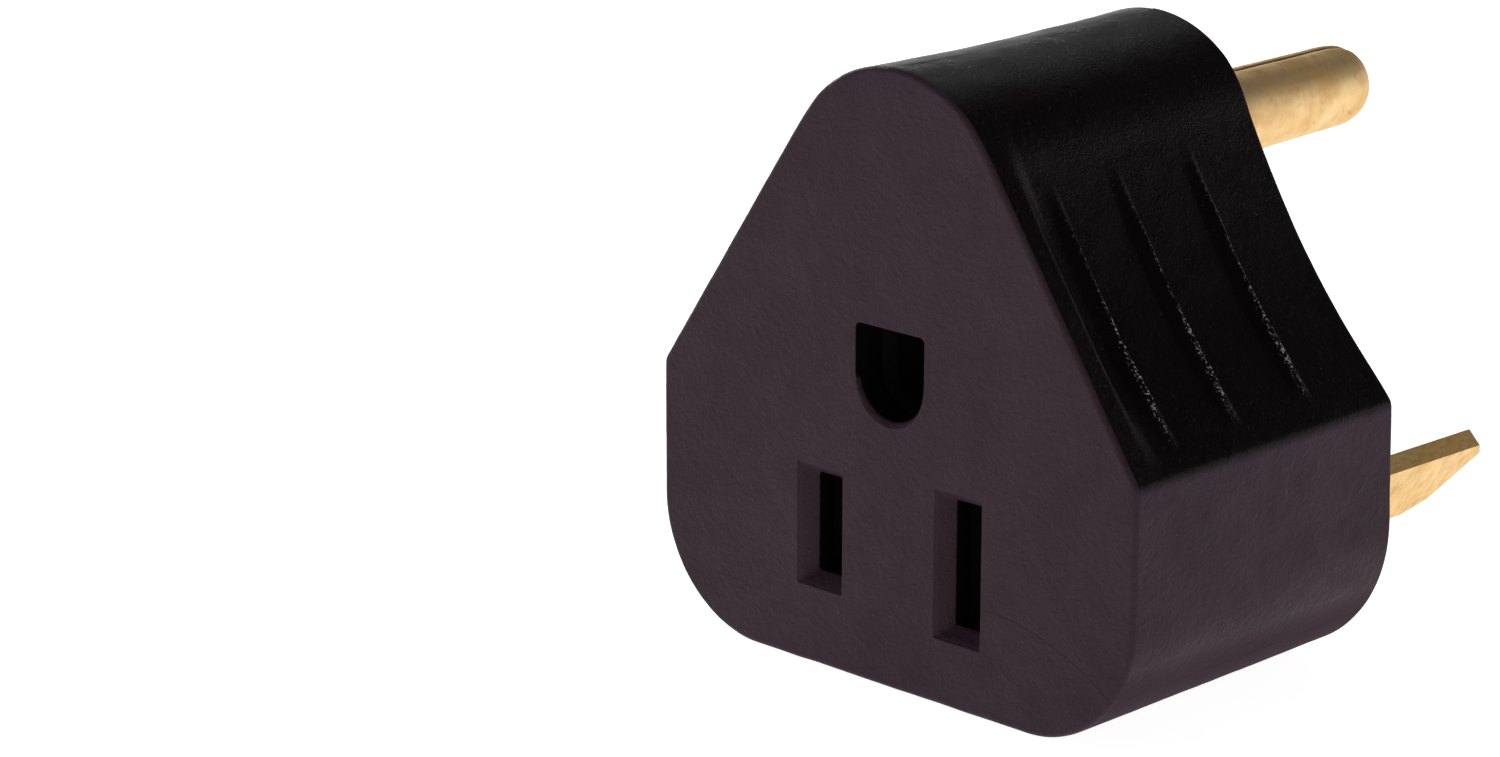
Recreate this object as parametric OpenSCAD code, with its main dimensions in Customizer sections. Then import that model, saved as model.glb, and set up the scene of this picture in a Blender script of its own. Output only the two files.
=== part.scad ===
// Moulded travel-trailer adapter: 30 A trailer plug at the back, household
// grounded receptacle at the front, in one solid overmoulded body.
// Millimetres, +Z up, receptacle face towards -Y, plug blades towards +Y.
// The origin is under the middle of the whole adapter, on its flat bottom.

/* [Body] */
// Width at the receptacle face
front_w = 43.3; // [43:0.1:43.5]
// Width across the shoulders at the plug face
back_w = 43.5; // [43.3:0.1:43.7]
// Width low down at the plug face, where the body flares a little
back_foot_w = 44; // [43.8:0.1:44.3]
// Depth from the receptacle face to the plug face
body_d = 26.1; // [25.8:0.1:27]
// Height at the receptacle face
front_h = 42.3; // [42:0.1:42.5]
// Height at the plug face
back_h = 42.9; // [42.6:0.1:43.2]
// Height of the shoulder where flank and side meet, at the receptacle face
front_shoulder_z = 18.6; // [18.4:0.1:18.8]
// The same shoulder at the plug face
back_shoulder_z = 19.2; // [19:0.1:19.4]
// Radius of the rounded ridge at the receptacle face
front_ridge_r = 10.1; // [9.8:0.1:10.4]
// Radius of the rounded ridge at the plug face
back_ridge_r = 9.7; // [9.4:0.1:10]
// Radius of the two bottom corners at the receptacle face
front_corner_r = 9.2; // [8.8:0.1:9.6]
// Radius of the two bottom corners at the plug face
back_corner_r = 10.4; // [10:0.1:10.8]

/* [Finger grips] */
// Depth of the hollow in each flank
dish_depth = 1.3; // [0.9:0.1:1.5]
// Width of the full lip left beside the receptacle face
dish_lip = 2.4; // [2:0.1:3]
// Number of grip ribs on each flank
rib_count = 3; // [2:1:4]
// Distance between grip ribs
rib_pitch = 6.8; // [6:0.1:6.8]
// Thickness of one rib at its base
rib_t = 0.9; // [0.6:0.1:1.2]
// Height of a rib above the hollow, at its middle
rib_h = 0.5; // [0.3:0.05:0.6]

/* [Receptacle] */
// Distance between the two blade slots
slot_pitch = 12.7; // [12.7:0.1:12.8]
// Height of the slot centres above the bottom
slot_z = 9.8; // [9.6:0.1:10]
// Rise from the slot centres to the ground contact
ground_rise = 11.9; // [11.9:0.1:12]
// Width of a slot
slot_w = 2.4; // [2.2:0.1:2.6]
// Length of the line slot
line_slot_h = 7.0; // [6.8:0.1:7.2]
// Length of the neutral slot, the longer one
neutral_slot_h = 8.7; // [8.5:0.1:8.8]
// Depth of the funnel round each slot
funnel_d = 1.15; // [1:0.05:1.3]
// Radius of the round end of the ground opening
ground_r = 3.1; // [2.9:0.05:3.2]
// Width of the bevel round the lower half of the ground opening
ground_bevel = 0.3; // [0.2:0.05:0.4]

/* [Plug] */
// Width of a blade
blade_w = 9.5; // [9.3:0.1:9.6]
// Thickness of a blade
blade_t = 1.4; // [1.3:0.1:1.5]
// Length of a blade beyond the plug face
blade_len = 19.4; // [18.8:0.1:19.8]
// Distance of a blade's middle from the centre plane
blade_x = 12.3; // [12.1:0.1:12.5]
// Height of a blade's middle
blade_z = 8.4; // [8.1:0.1:8.6]
// Size of the cut corners at a blade's tip
blade_cut = 1.6; // [1:0.1:2]
// Diameter of the ground pin
pin_d = 6.35; // [6.2:0.05:6.4]
// Length of the ground pin beyond the plug face
pin_len = 21.9; // [21.5:0.1:22.4]
// Height of the ground pin's axis
pin_z = 34; // [33.9:0.1:34.4]
// Thickness of the sheet that the ground pin is rolled from
pin_sheet = 1.0; // [0.8:0.1:1.1]

/* [Hidden] */
$fn = 96;

eps = 0.01;
rib_sink = 0.2; // the ribs are rooted this far below the hollow
contact_room = 0.4; // free room round the contacts and straps
gap = 0.05; // clearance round each metal piece in its plastic
face_y = -(body_d + pin_len) / 2; // the receptacle face
slot_x = slot_pitch / 2;
ground_z = slot_z + ground_rise;
ground_arc_z = ground_z - 0.1; // the ground opening's arc sits a little low

// Shape of the body's outline at each end and midway: width at the shoulders,
// width low down, height, shoulder height, ridge radius, corner radius
front = [front_w, front_w, front_h, front_shoulder_z, front_ridge_r, front_corner_r];
back = [back_w, back_foot_w, back_h, back_shoulder_z, back_ridge_r, back_corner_r];
middle = (front + back) / 2;

// Depths behind the receptacle face where the inner pieces start and stop
housing_d0 = 2.5;
housing_wall = 1.5;
contact_d0 = 5.2;
base_t = 0.8;
cover_d0 = 19.0;
cover_t = 1.4;
strap_d0 = cover_d0 + cover_t;
strap_t = 0.8;
foot_d0 = strap_d0 + strap_t;
carrier_d1 = 24.4;
pocket_d1 = foot_d0 + blade_t + 0.7;
base_d0 = cover_d0 - base_t;

// Contact housing: a low box for the two blades and a tower for the ground
housing_z0 = 3.2;
housing_half_w = 12;
housing_low_z1 = 18.8;
tower_half_w = 5.6;
tower_z1 = 30.6;
housing_corner_r = 1.5;
chamber_half_w = 3;
chamber_z1 = 17.6;
ground_chamber_r = 3.9;
tab_half_w = 2.2;
core_wall = 3.2;

// Contacts, straps and rivets
leaf_t = 0.6;
leaf_pinch = 0.5; // half the gap between two leaves at their narrowest
leaf_spread = 0.7; // each leaf stands this much further out at its ends
leaf_lead = 3; // from a leaf's mouth to its pinch
pinch_l = 1; // length of the pinch
base_half_w = 2.6;
base_top_z = 17.2;
sleeve_r = 2.35; // grips a 4.8 mm ground pin
sleeve_d0 = 6.6;
strap_r = 2.3;
rivet_r = 0.9;
rivet_head_r = 1.5;
rivet_head_t = 0.6;
contact_rivet_z = 15.6;
ground_rivet_z = 26.9;
foot_w = 5;
foot_reach = 4.8;
pin_dome = 3.2;
pin_slit = 0.25;
pin_neck = 0.2; // the pin is this much thinner inside the body
root_r = pin_d / 2 - pin_neck;
tilt = 45; // each blade leans this far from upright
foot_mid = blade_t / 2 + foot_reach / 2;
foot_x = blade_x - foot_mid * cos(tilt);
foot_z = blade_z + foot_mid * sin(tilt);

// Radius of an arc that has this chord and rise
function arc_r(chord, rise) = chord * chord / (8 * rise) + rise / 2;

// Lean of the flank's outward normal from upright: the flank runs from the
// shoulder as a tangent to the ridge circle
function flank_lean(shape) =
    let (dx = shape[0] / 2, dz = shape[3] - (shape[2] - shape[4]))
    atan2(dx, dz) - acos(shape[4] / norm([dx, dz]));

// Extrudes an X-Z outline between two depths behind the receptacle face
module slab(d0, d1) {
    translate([0, face_y + d1, 0])
        rotate([90, 0, 0])
            linear_extrude(d1 - d0)
                children();
}

// Extrudes an outline drawn in X and depth, between two heights
module upright(z0, z1) {
    translate([0, face_y, z0])
        linear_extrude(z1 - z0)
            children();
}

// Body outline, or one set in from it by a wall
module outline(shape, inset = 0) {
    lean = flank_lean(shape);
    shoulder_x = shape[0] / 2 - inset;
    foot_x = shape[1] / 2 - inset;
    ridge_z = shape[2] - shape[4];
    r = shape[4] - inset;
    shoulder_z = (ridge_z * cos(lean) + r - shoulder_x * sin(lean)) / cos(lean);
    corner_z = shape[5];
    low_r = corner_z - inset;
    translate([0, ridge_z])
        circle(r);
    polygon([[-r * sin(lean), ridge_z + r * cos(lean)], [-shoulder_x, shoulder_z],
             [-foot_x, corner_z], [foot_x, corner_z],
             [shoulder_x, shoulder_z], [r * sin(lean), ridge_z + r * cos(lean)]]);
    translate([-foot_x + low_r, inset])
        square([2 * (foot_x - low_r), low_r + eps]);
    for (side = [-1, 1])
        translate([side * (foot_x - low_r), corner_z])
            circle(low_r);
}

module rounded_box(half_w, z0, z1) {
    r = housing_corner_r;
    translate([-half_w + r, z0])
        square([2 * (half_w - r), z1 - z0]);
    translate([-half_w, z0 + r])
        square([2 * half_w, z1 - z0 - 2 * r]);
    for (side = [-1, 1], z = [z0 + r, z1 - r])
        translate([side * (half_w - r), z])
            circle(r);
}

module housing_outline() {
    rounded_box(housing_half_w, housing_z0, housing_low_z1);
    rounded_box(tower_half_w, housing_z0, tower_z1);
}

// Strip with round ends from one point to another
module link(from, to, r) {
    along = to - from;
    translate(from)
        circle(r);
    translate(to)
        circle(r);
    translate(from)
        rotate(atan2(along[1], along[0]))
            translate([0, -r])
                square([norm(along), 2 * r]);
}

// Rectangle that leans outwards like a blade, on the +X side
module leaning(across, along) {
    translate([blade_x, blade_z])
        rotate(-tilt)
            translate([-across / 2, -along / 2])
                square([across, along]);
}

// Circle that hollows one flank by a rise, seen along the body
module dish(rise, side) {
    lean = flank_lean(middle);
    normal = [sin(lean), cos(lean)];
    top = [0, middle[2] - middle[4]] + middle[4] * normal;
    low = [middle[0] / 2, middle[3]];
    r = arc_r(norm(top - low), rise);
    mid = (top + low) / 2 + (r - rise) * normal;
    translate([side * mid[0], mid[1]])
        circle(r, $fn = 240);
}

// Opening for the ground pin: flat above and round below
module ground_opening() {
    translate([0, ground_arc_z])
        circle(ground_r);
    translate([-ground_r, ground_arc_z])
        square([2 * ground_r, ground_r + 0.1]);
}

// Half disc below the middle of the ground opening
module lower_half(r) {
    translate([0, ground_arc_z])
        intersection() {
            circle(r);
            translate([-r, -r])
                square([2 * r, r]);
        }
}

module ground_lead_in() {
    hull() {
        slab(-eps, 0)
            lower_half(ground_r + ground_bevel);
        slab(ground_bevel - eps, ground_bevel)
            lower_half(ground_r);
    }
}

// Bevelled lead-in that narrows to a slot on the +X side
module funnel(side, length) {
    lead_x = 0.9;
    lead_z = 0.8;
    hull() {
        slab(-eps, 0)
            translate([side * slot_x, slot_z])
                square([slot_w + 2 * lead_x, length + 2 * lead_z], center = true);
        slab(funnel_d - eps, funnel_d)
            translate([side * slot_x, slot_z])
                square([slot_w, length], center = true);
    }
}

module slot(side, length, d0, d1, grow = 0) {
    slab(d0, d1)
        translate([side * slot_x, slot_z])
            square([slot_w + 2 * grow, length + 2 * grow], center = true);
}

module grip_ribs(side) {
    first = body_d / 2 - rib_pitch * (rib_count - 1) / 2;
    for (i = [0 : rib_count - 1])
        slab(first + i * rib_pitch - rib_t / 2, first + i * rib_pitch + rib_t / 2)
            intersection() {
                outline(middle, rib_sink);
                difference() {
                    dish(dish_depth + rib_sink, side);
                    dish(dish_depth - rib_h, side);
                }
            }
}

// Hollow that the rigid inner pieces fill
module core_space() {
    slab(housing_d0, strap_d0)
        housing_outline();
    slab(strap_d0, carrier_d1)
        outline(middle, core_wall);
    slab(strap_d0 - rivet_head_t - gap, strap_d0)
        translate([0, pin_z])
            circle(rivet_head_r + gap);
}

module body_overmold() {
    color([0.09, 0.085, 0.09])
    difference() {
        union() {
            difference() {
                hull() {
                    slab(0, eps)
                        outline(front, $fn = 64);
                    slab(body_d - eps, body_d)
                        outline(back, $fn = 64);
                }
                for (side = [-1, 1])
                    slab(dish_lip, body_d + 1)
                        dish(dish_depth, side);
            }
            for (side = [-1, 1])
                grip_ribs(side);
        }
        core_space();
        funnel(-1, line_slot_h);
        funnel(1, neutral_slot_h);
        slot(-1, line_slot_h, 0, housing_d0 + eps);
        slot(1, neutral_slot_h, 0, housing_d0 + eps);
        slab(-eps, housing_d0 + eps)
            ground_opening();
        ground_lead_in();
        slab(carrier_d1 - eps, body_d + 1) {
            leaning(blade_t + 2 * gap, blade_w + 2 * gap);
            mirror([1, 0])
                leaning(blade_t + 2 * gap, blade_w + 2 * gap);
            translate([0, pin_z])
                circle(root_r + gap);
        }
    }
}

// Room for one blade contact, from a height up
module chamber(z0) {
    translate([-chamber_half_w, z0])
        square([2 * chamber_half_w, chamber_z1 - z0]);
}

// Rigid block behind the receptacle face: one chamber for each contact
module contact_housing() {
    chamber_d0 = housing_d0 + housing_wall;
    slot_grow = 0.1;
    color([0.16, 0.15, 0.14])
    difference() {
        slab(housing_d0, cover_d0)
            housing_outline();
        slot(-1, line_slot_h, 0, chamber_d0 + eps, slot_grow);
        slot(1, neutral_slot_h, 0, chamber_d0 + eps, slot_grow);
        slab(0, chamber_d0 + eps)
            ground_opening();
        for (side = [[-1, line_slot_h], [1, neutral_slot_h]])
            slab(chamber_d0, cover_d0 + 1)
                translate([side[0] * slot_x, 0])
                    chamber(slot_z - side[1] / 2 - contact_room);
        slab(chamber_d0, cover_d0 + 1)
            translate([0, ground_z])
                circle(ground_chamber_r);
        slab(base_d0 - rivet_head_t - contact_room, cover_d0 + 1)
            translate([-tab_half_w - gap, ground_z])
                square([2 * (tab_half_w + gap), tower_z1 - housing_wall - ground_z]);
    }
}

// Lid over the chambers, with a hole for each rivet and for the ground pin's tip
module housing_cover() {
    color([0.16, 0.15, 0.14])
    difference() {
        slab(cover_d0, strap_d0)
            housing_outline();
        slab(cover_d0 - 1, strap_d0 + 1) {
            for (side = [-1, 1])
                translate([side * slot_x, contact_rivet_z])
                    circle(rivet_r + gap);
            translate([0, ground_rivet_z])
                circle(rivet_r + gap);
            translate([0, ground_z])
                circle(ground_r);
        }
        slab(strap_d0 - rivet_head_t - gap, strap_d0 + 1)
            for (side = [-1, 1])
                translate([side * foot_x, foot_z])
                    circle(rivet_head_r + gap);
    }
}

// Rigid plate that holds the blades and the pin, with room for the straps
module blade_carrier() {
    color([0.16, 0.15, 0.14])
    difference() {
        slab(strap_d0, carrier_d1)
            outline(middle, core_wall);
        for (side = [0, 1])
            mirror([side, 0, 0]) {
                slab(strap_d0 - 1, pocket_d1) {
                    link([slot_x, contact_rivet_z], [foot_x, foot_z], strap_r + contact_room);
                    translate([foot_x, foot_z])
                        rotate(-tilt)
                            square([foot_reach + 2 * blade_t, foot_w + 2 * contact_room], center = true);
                }
                slab(strap_d0 - 1, carrier_d1 + 1)
                    leaning(blade_t + 2 * gap, blade_w + 2 * gap);
            }
        slab(strap_d0 - 1, pocket_d1) {
            link([0, ground_rivet_z], [0, pin_z], strap_r + contact_room);
            translate([0, ground_z])
                circle(ground_r);
        }
        slab(strap_d0 - 1, carrier_d1 + 1)
            translate([0, pin_z])
                circle(root_r + gap);
    }
}

// Flat blade with cut corners at its tip and a foot bent over at its root
module blade(side) {
    tip = body_d + blade_len;
    color([0.80, 0.62, 0.28])
    mirror([side < 0 ? 1 : 0, 0, 0])
        difference() {
            union() {
                slab(foot_d0, tip)
                    leaning(blade_t, blade_w);
                slab(foot_d0, foot_d0 + blade_t)
                    translate([foot_x, foot_z])
                        rotate(-tilt)
                            square([foot_reach + eps, foot_w], center = true);
            }
            translate([blade_x, face_y + tip, blade_z])
                rotate([0, tilt, 0])
                    for (end = [-1, 1])
                        translate([0, 0, end * blade_w / 2])
                            rotate([45, 0, 0])
                                cube([3 * blade_t, blade_cut * sqrt(2), blade_cut * sqrt(2)], center = true);
            slab(foot_d0 - 1, foot_d0 + blade_t + 1)
                translate([foot_x, foot_z])
                    circle(rivet_r + gap);
        }
}

module line_blade() {
    blade(-1);
}

module neutral_blade() {
    blade(1);
}

// Ground pin rolled from sheet: round, with a domed tip and a seam below
module ground_pin() {
    r = pin_d / 2;
    tip = body_d + pin_len;
    neck = body_d - foot_d0;
    straight = tip - pin_dome - foot_d0;
    flat_r = 0.9; // flat left at the middle of the dome
    dome_r = arc_r(2 * pin_dome, r - flat_r);
    color([0.84, 0.66, 0.32])
    difference() {
        translate([0, face_y + foot_d0, pin_z])
            rotate([-90, 0, 0])
                rotate_extrude()
                    difference() {
                        union() {
                            square([root_r, neck]);
                            translate([0, neck])
                                square([r, straight - neck]);
                            intersection() {
                                translate([r - dome_r, straight])
                                    circle(dome_r);
                                square([r, straight + pin_dome]);
                            }
                        }
                        translate([0, pin_sheet])
                            square([root_r - pin_sheet, straight - pin_sheet]);
                        translate([0, straight - eps])
                            square([flat_r, pin_dome - 2 * pin_sheet]);
                    }
        slab(body_d + pin_sheet, tip - pin_dome)
            translate([-pin_slit / 2, pin_z - r - 1])
                square([pin_slit, r]);
        slab(foot_d0 - 1, foot_d0 + pin_sheet + 1)
            translate([0, pin_z])
                circle(rivet_r + gap);
    }
}

// One spring leaf on the +X side: far apart at both ends, close at the pinch
module leaf() {
    wide = leaf_pinch + leaf_spread;
    pinch_d = contact_d0 + leaf_lead;
    inner = [[wide, base_d0 + eps], [leaf_pinch, pinch_d + pinch_l], [leaf_pinch, pinch_d],
             [wide, contact_d0]];
    polygon(concat(inner, [for (i = [3 : -1 : 0]) inner[i] + [leaf_t, 0]]));
}

// Folded strip with two spring leaves that grip a blade of the household plug
module blade_contact(side, length) {
    half = length / 2 - contact_room;
    color([0.78, 0.60, 0.27])
    difference() {
        union() {
            translate([side * slot_x, 0, 0])
                upright(slot_z - half, slot_z + half) {
                    leaf();
                    mirror([1, 0])
                        leaf();
                }
            slab(base_d0, cover_d0)
                translate([side * slot_x - base_half_w, slot_z - half])
                    square([2 * base_half_w, base_top_z - slot_z + half]);
        }
        slab(base_d0 - 1, cover_d0 + 1)
            translate([side * slot_x, contact_rivet_z])
                circle(rivet_r + gap);
    }
}

module line_contact() {
    blade_contact(-1, line_slot_h);
}

module neutral_contact() {
    blade_contact(1, neutral_slot_h);
}

// Split sleeve that grips the household plug's ground pin, on a tabbed ring
module ground_contact() {
    outer = sleeve_r + leaf_t;
    split_w = 0.7;
    ring_w = 0.7;
    color([0.78, 0.60, 0.27])
    difference() {
        union() {
            slab(sleeve_d0, cover_d0)
                translate([0, ground_z])
                    circle(outer);
            slab(base_d0, cover_d0) {
                translate([0, ground_z])
                    circle(outer + ring_w);
                translate([-tab_half_w, ground_z])
                    square([2 * tab_half_w, ground_rivet_z + 2 * rivet_r - ground_z]);
            }
        }
        slab(sleeve_d0 - 1, cover_d0 + 1)
            translate([0, ground_z])
                circle(sleeve_r);
        slab(sleeve_d0 - 1, base_d0 - 1)
            translate([0, ground_z])
                square([2 * outer + 1, split_w], center = true);
        slab(base_d0 - 1, cover_d0 + 1)
            translate([0, ground_rivet_z])
                circle(rivet_r + gap);
    }
}

// Strap behind the cover that joins a contact to its blade or pin
module strap(from, to) {
    color([0.76, 0.58, 0.26])
    difference() {
        slab(strap_d0, foot_d0)
            link(from, to, strap_r);
        slab(strap_d0 - 1, foot_d0 + 1)
            for (end = [from, to])
                translate(end)
                    circle(rivet_r + gap);
    }
}

module line_strap() {
    strap([-slot_x, contact_rivet_z], [-foot_x, foot_z]);
}

module neutral_strap() {
    strap([slot_x, contact_rivet_z], [foot_x, foot_z]);
}

module ground_strap() {
    strap([0, ground_rivet_z], [0, pin_z]);
}

// Rivet that clamps everything between two depths
module rivet(at, d0, d1) {
    color([0.72, 0.70, 0.66])
    union() {
        slab(d0 - rivet_head_t, d0)
            translate(at)
                circle(rivet_head_r);
        slab(d0 - eps, d1 + eps)
            translate(at)
                circle(rivet_r);
        slab(d1, d1 + rivet_head_t)
            translate(at)
                circle(rivet_head_r);
    }
}

module contact_rivets() {
    for (at = [[-slot_x, contact_rivet_z], [slot_x, contact_rivet_z], [0, ground_rivet_z]])
        rivet(at, base_d0, foot_d0);
}

module blade_rivets() {
    for (side = [-1, 1])
        rivet([side * foot_x, foot_z], strap_d0, foot_d0 + blade_t);
}

module ground_pin_rivet() {
    rivet([0, pin_z], strap_d0, foot_d0 + pin_sheet);
}

body_overmold();
contact_housing();
housing_cover();
blade_carrier();
line_blade();
neutral_blade();
ground_pin();
line_contact();
neutral_contact();
ground_contact();
line_strap();
neutral_strap();
ground_strap();
contact_rivets();
blade_rivets();
ground_pin_rivet();
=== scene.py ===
"""Looks for the moulded power adapter: a detailed overmould, a folded ground pin and finishes for the rest.

Lengths are in millimetres until mesh_object() turns them into metres. A depth is measured from the
receptacle face towards the plug face. A loop is a closed outline of X and Z values that runs
clockwise as seen from the receptacle's side.
"""

import math

import bmesh
import bpy
import numpy as np
from mathutils import Matrix, Vector


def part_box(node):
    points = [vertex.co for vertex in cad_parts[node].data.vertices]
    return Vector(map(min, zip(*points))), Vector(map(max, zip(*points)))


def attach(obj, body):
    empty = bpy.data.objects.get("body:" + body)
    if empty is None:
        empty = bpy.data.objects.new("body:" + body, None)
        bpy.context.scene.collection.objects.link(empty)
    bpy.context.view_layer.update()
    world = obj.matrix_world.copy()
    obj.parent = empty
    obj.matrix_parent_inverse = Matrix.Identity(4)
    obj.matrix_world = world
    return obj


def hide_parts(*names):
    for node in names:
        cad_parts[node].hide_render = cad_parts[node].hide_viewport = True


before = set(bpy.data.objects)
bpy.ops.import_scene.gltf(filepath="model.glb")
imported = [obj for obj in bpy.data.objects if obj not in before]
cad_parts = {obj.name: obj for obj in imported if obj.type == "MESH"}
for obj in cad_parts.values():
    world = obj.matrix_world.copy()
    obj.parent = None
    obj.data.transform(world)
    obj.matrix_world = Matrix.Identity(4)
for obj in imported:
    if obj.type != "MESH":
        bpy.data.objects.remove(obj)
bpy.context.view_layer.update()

# ---------------------------------------------------------------- sizes from the CAD frame

MM = 0.001
body_low, body_high = [np.array(corner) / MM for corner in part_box("body_overmold")]
pin_low, pin_high = [np.array(corner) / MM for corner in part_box("ground_pin")]

FACE_Y = body_low[1]
PLUG_Y = body_high[1]
BODY_D = PLUG_Y - FACE_Y

# Outline at each end: width at the shoulders, width low down, height, shoulder height, ridge
# radius and corner radius
FRONT_SHOULDER, BACK_SHOULDER = 18.6, 19.2
FRONT = np.array([43.3, 43.3, 42.3, FRONT_SHOULDER, 10.1, 9.2])
BACK = np.array([43.5, 2 * body_high[0], body_high[2], BACK_SHOULDER, 9.7, 10.4])
SHOULDER_FILLET = 1.0
FRONT_FILLET, BACK_FILLET = 0.35, 0.3
FILLET_STEPS = 5
RIDGE_DIP = 0.3  # halfway between the two faces

# Flanks. Side 1 is the neutral side and side -1 the line side. A share of a flank runs from 0 at
# the ridge to 1 at the shoulder.
DISH_RISE = 1.15
DISH_FROM, DISH_FULL = 1.7, 3.4
RIB_DEPTHS = {1: (5.1, 11.4, 18.7), -1: (5.8, 12.3, 18.0)}
RIB_HEIGHT = 0.5
RIB_RISE, RIB_FALL = 1.2, 0.4  # gentle towards the receptacle face, steep towards the plug
RIB_GLINTS = {1: (1.0, 1.0, 0.0), -1: (1.7, 0.18, 0.22)}  # glint width and strength on a crest, and sheen strength, all painted light
SLIT_D = 0.15

# Line side: ripples round the moulding gate, the parting line and a few scratches
SWIRL_DEPTH, SWIRL_Z, SWIRL_R = 12.9, 14.4, 6.0
SWIRL_STRETCH, SWIRL_TOP = 1.08, 21.5
RING_PITCH, RING_D = 0.62, 0.14
PARTING_Z, PARTING_HALF, PARTING_D = 13.7, 0.13, 0.12
SCRATCHES = (  # depth, how far it leans over a whole flank, and the share where it starts
    (9.6, 5.0, 0.86), (10.5, 9.0, 0.83), (11.1, 12.0, 0.87), (12.3, 14.0, 0.84), (13.2, 17.0, 0.88),
)
MARK_HALF = 0.09  # half width of a scratch and of the knit line
KNIT_DEPTH, KNIT_LEAN, KNIT_D = 12.5, 0.3, 0.045

SLOT_X, SLOT_Z = 6.35, 9.8
SLOT_W = 2.4
SLOT_LENGTHS = {-1: 7.0, 1: 8.7}
SLOT_CORNER, FUNNEL_CORNER = 0.26, 0.16
FUNNEL_D, FUNNEL_X, FUNNEL_Z = 1.15, 0.9, 0.8
FUNNEL_STEPS = 8
SLOT_LIP = 0.07
GROUND_R, GROUND_BEVEL, GROUND_ARC_Z = 3.1, 0.3, 21.6
GROUND_CORNER = 0.4
HOLE_D = 2.5

BLADE_W, BLADE_T, BLADE_X, BLADE_Z = 9.5, 1.4, 12.3, 8.4
CARRIER_D = 24.4

PIN_R = pin_high[0]
PIN_Z = (pin_low[2] + pin_high[2]) / 2
PIN_TIP = pin_high[1]
PIN_ROOT = pin_low[1]
PIN_DOME = 3.1
PIN_LIFT, PIN_TAPER = 0.69, 0.24  # how far the axis rises, and the radius shrinks, by the tip
PIN_NECK = 0.2

COARSE = 1


# ---------------------------------------------------------------- small maths


def smooth(low, high, value):
    """0 below low, 1 above high, and an S-curve between."""
    x = np.clip((value - low) / (high - low), 0, 1)
    return x * x * (3 - 2 * x)


def fade(low, high, value):
    """1 below low, 0 above high, and an S-curve between."""
    return 1 - smooth(low, high, value)


def speckle(u, v, seed):
    """Smooth random field from -1 to 1 with bumps about one unit across."""
    table = np.random.RandomState(seed).uniform(-1, 1, (128, 128))
    iu, iv = np.floor(u).astype(int), np.floor(v).astype(int)
    fu, fv = smooth(0, 1, u - iu), smooth(0, 1, v - iv)
    top = table[iu % 128, iv % 128] * (1 - fu) + table[(iu + 1) % 128, iv % 128] * fu
    low = table[iu % 128, (iv + 1) % 128] * (1 - fu) + table[(iu + 1) % 128, (iv + 1) % 128] * fu
    return top * (1 - fv) + low * fv


def loop_normals(loops):
    """Outward normals of one loop or of a stack of them."""
    ahead = np.roll(loops, -1, axis=-2) - np.roll(loops, 1, axis=-2)
    normal = np.stack([-ahead[..., 1], ahead[..., 0]], axis=-1)
    return normal / np.linalg.norm(normal, axis=-1, keepdims=True)


# ---------------------------------------------------------------- mesh helpers


class Skin:
    """Collects vertices and faces for one closed mesh."""

    def __init__(self):
        self.points, self.faces, self.count = [], [], 0

    def ring(self, points):
        """Adds points and returns their numbers."""
        start = self.count
        self.points.append(np.asarray(points, float))
        self.count += len(points)
        return range(start, self.count)

    def tube(self, rings, flip=False):
        """Joins rings of the same length, in order, with quads; returns the first and last ring."""
        rows = [self.ring(r) for r in rings]
        for a, b in zip(rows, rows[1:]):
            n = len(a)
            for i in range(n):
                j = (i + 1) % n
                quad = (a[i], a[j], b[j], b[i])
                self.faces.append(quad[::-1] if flip else quad)
        return rows[0], rows[-1]

    def fan(self, ring, centre, flip=False):
        """Closes a ring with triangles that meet at one point."""
        middle = self.ring([centre])[0]
        for i in range(len(ring)):
            tri = (ring[i], ring[(i + 1) % len(ring)], middle)
            self.faces.append(tri[::-1] if flip else tri)


def loop_at(loop, depth):
    """Places a loop at one depth, or at one depth for each point."""
    y = np.broadcast_to(FACE_Y + np.asarray(depth, float), len(loop))
    return np.column_stack([loop[:, 0], y, loop[:, 1]])


def grown(loop, amount):
    """The loop moved outwards, or inwards for a negative amount."""
    return loop + loop_normals(loop) * amount


def mesh_object(name, skin, material, caps=(), attributes=None):
    """Makes the object in metres. A cap is a flat face: the rings that bound it and its normal."""
    mesh = bpy.data.meshes.new(name)
    mesh.from_pydata((np.concatenate(skin.points) * MM).tolist(), [], skin.faces)
    mesh.materials.append(material)
    for key, values in (attributes or {}).items():
        layer = mesh.attributes.new(key, "FLOAT", "POINT")
        layer.data.foreach_set("value", np.asarray(values, dtype=np.float32))
    bm = bmesh.new()
    bm.from_mesh(mesh)
    bm.verts.ensure_lookup_table()
    for face in bm.faces:
        face.smooth = True
    for rings, normal in caps:
        edges = []
        for ring in rings:
            for i, index in enumerate(ring):
                edge = bm.edges.get((bm.verts[index], bm.verts[ring[(i + 1) % len(ring)]]))
                edge.smooth = False
                edges.append(edge)
        bmesh.ops.triangle_fill(bm, edges=edges, use_beauty=True, normal=normal)
    bmesh.ops.recalc_face_normals(bm, faces=bm.faces)
    bm.to_mesh(mesh)
    bm.free()
    obj = bpy.data.objects.new(name, mesh)
    bpy.context.scene.collection.objects.link(obj)
    return obj


# ---------------------------------------------------------------- overmould


def body_columns():
    """Numbers of points along each stretch of half an outline."""
    counts = dict(ridge=44, flank=110, shoulder=9, upper=44, lower=36, corner=64, bottom=24)
    return {key: max(4, int(count / COARSE)) for key, count in counts.items()}


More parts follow.
